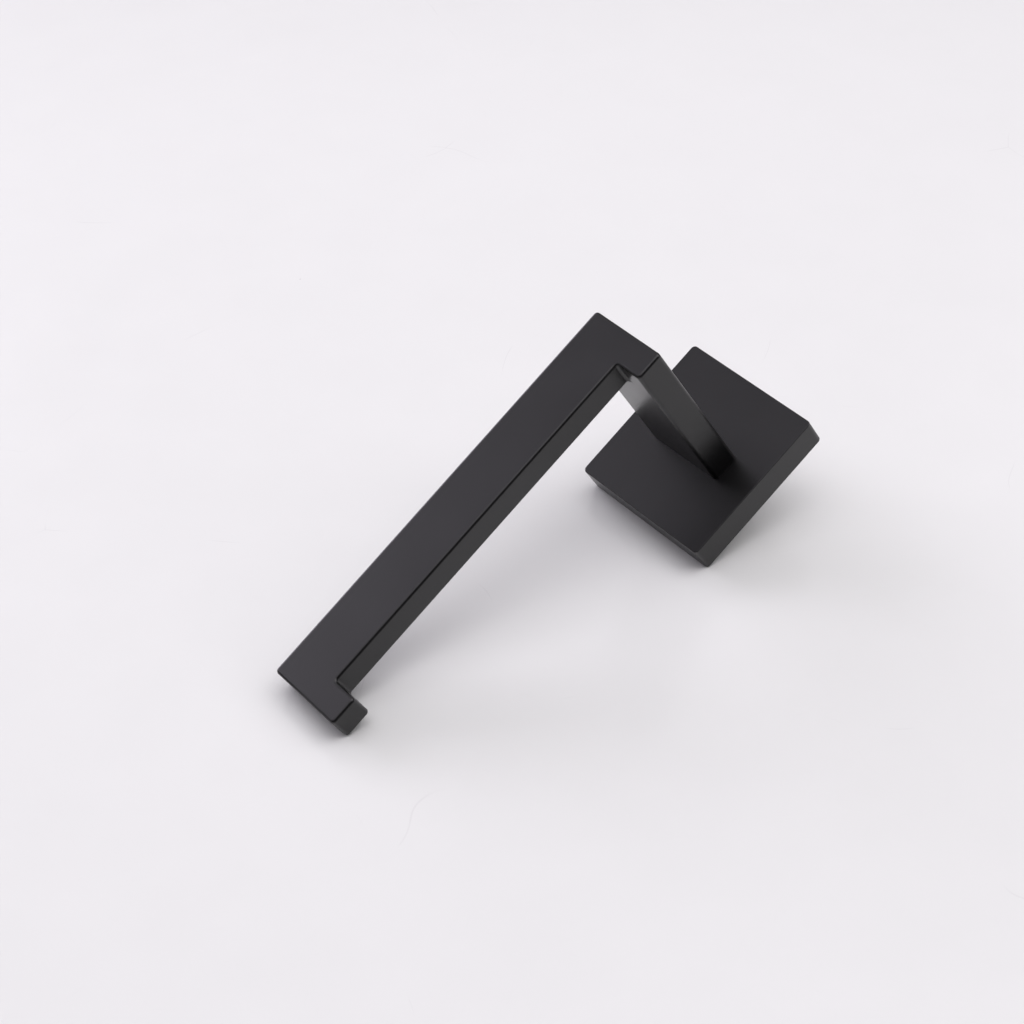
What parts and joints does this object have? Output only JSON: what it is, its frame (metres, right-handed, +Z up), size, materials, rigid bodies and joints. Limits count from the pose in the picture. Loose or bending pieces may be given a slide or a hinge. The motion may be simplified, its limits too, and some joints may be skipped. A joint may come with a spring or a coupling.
{
  "type": "toilet roll holder",
  "caption": "Wall-mounted toilet roll holder in matte black: square cover plate over a hidden bracket, flat-bar arm with a saddle and a raised lip.",
  "frame": {"origin": "centre of the cover's back, which is also the centre of the wall bracket's screw slots, on the wall", "axes": "+Y points into the wall, +X runs along the arm to its tip, +Z is up when the holder is on the wall"},
  "size_m": [0.1525, 0.068, 0.05],
  "materials": {
    "black_coating": "satin-matte black powder coating on a zinc alloy casting",
    "bracket_steel": "pressed stainless steel strip, mill finish",
    "zinc_plated_steel": "bright zinc plating",
    "grub_steel": "black oxide, slightly oily"
  },
  "bodies": {
    "bracket": {"wall_bracket": "bracket_steel"},
    "holder": {"cover_plate": "black_coating", "roll_arm": "black_coating", "upper_arm_screw": "zinc_plated_steel", "lower_arm_screw": "zinc_plated_steel", "upper_spring_washer": "zinc_plated_steel", "lower_spring_washer": "zinc_plated_steel", "upper_plain_washer": "zinc_plated_steel", "lower_plain_washer": "zinc_plated_steel"},
    "grub_screw": {"grub_screw": "grub_steel"}
  },
  "joints": [
    {"name": "cover_pull_off", "type": "slide", "parent": "bracket", "child": "holder", "axis": [0, -1, 0], "range_m": [0, 0.012]},
    {"name": "grub_screw_back_out", "type": "slide", "parent": "holder", "child": "grub_screw", "axis": [0, 0, -1], "range_m": [0, 0.004]}
  ]
}
